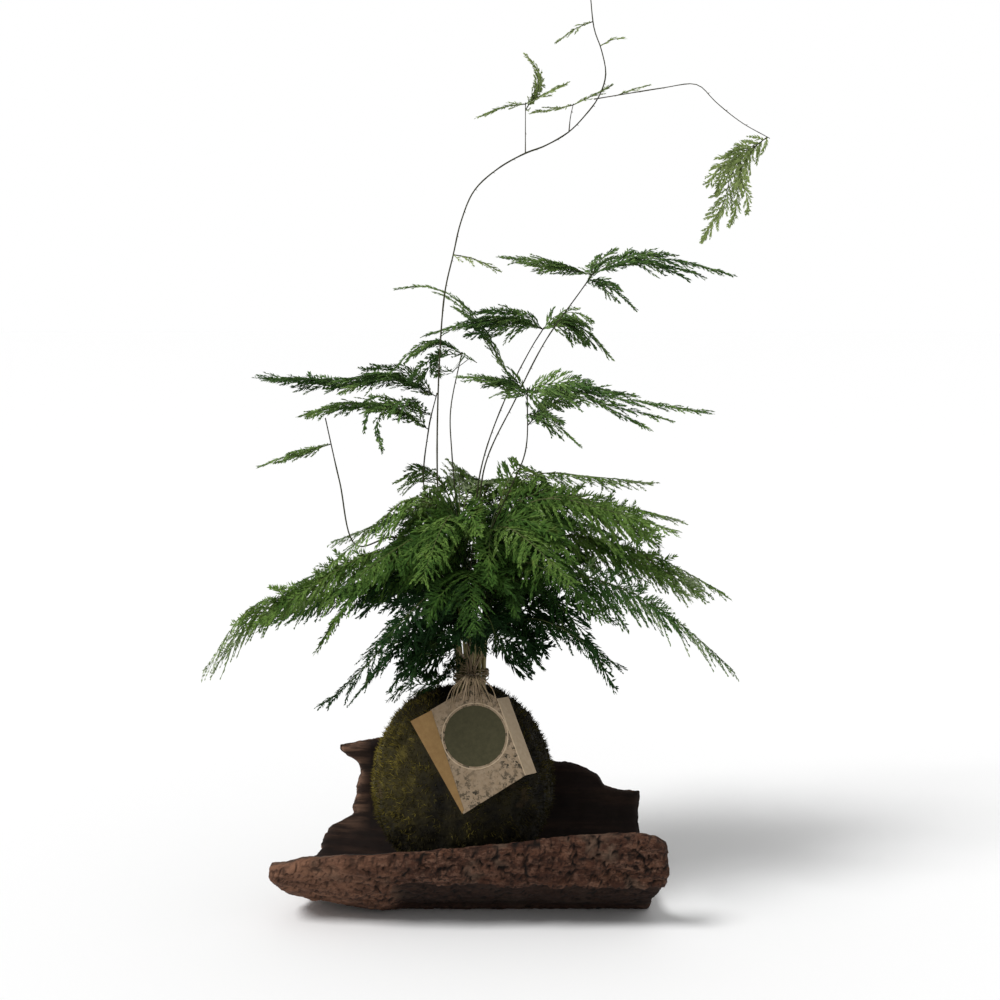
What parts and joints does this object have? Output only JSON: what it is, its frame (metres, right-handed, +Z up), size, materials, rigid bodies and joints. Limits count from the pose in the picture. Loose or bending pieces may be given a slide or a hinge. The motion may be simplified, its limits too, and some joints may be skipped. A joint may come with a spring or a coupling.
{
  "type": "moss ball plant",
  "caption": "Plumed fern growing from a moss ball that lies in a curled bark trough, with a small card tied at its neck.",
  "frame": {"origin": "middle of the flat spot under the bark trough, straight below the axis of the moss ball", "axes": "+Z up, the plant grows along it; the low front wall of the trough faces -Y; the trough runs along X"},
  "size_m": [0.3929, 0.3031, 0.6532],
  "materials": {
    "bark": "matte",
    "moss": "matte",
    "soil": "matte",
    "leaf": "satin",
    "dark_leaf": "satin",
    "raffia": "matte",
    "kraft": "matte"
  },
  "bodies": {
    "root": {"bark_trough": "bark", "moss_jacket": "moss", "soil_ball": "soil", "frond_01": "dark_leaf", "frond_02": "leaf", "frond_03": "leaf", "frond_04": "leaf", "frond_05": "leaf", "frond_06": "dark_leaf", "frond_07": "leaf", "frond_08": "leaf", "frond_09": "leaf", "frond_10": "dark_leaf", "frond_11": "leaf", "frond_12": "leaf", "frond_13": "leaf", "frond_14": "dark_leaf", "frond_15": "leaf", "frond_16": "leaf", "frond_17": "dark_leaf", "frond_18": "leaf", "frond_19": "dark_leaf", "frond_20": "leaf", "frond_21": "leaf", "frond_22": "dark_leaf", "frond_23": "leaf", "frond_24": "leaf", "frond_25": "dark_leaf", "frond_26": "leaf", "tall_stem_climber": "leaf", "tall_stem_right_high": "leaf", "tall_stem_middle": "leaf", "tall_stem_front": "leaf", "tall_stem_left": "leaf", "tall_stem_arc": "leaf", "tall_stem_far_left": "leaf", "raffia_tie": "raffia", "gift_card": "kraft"}
  },
  "joints": []
}
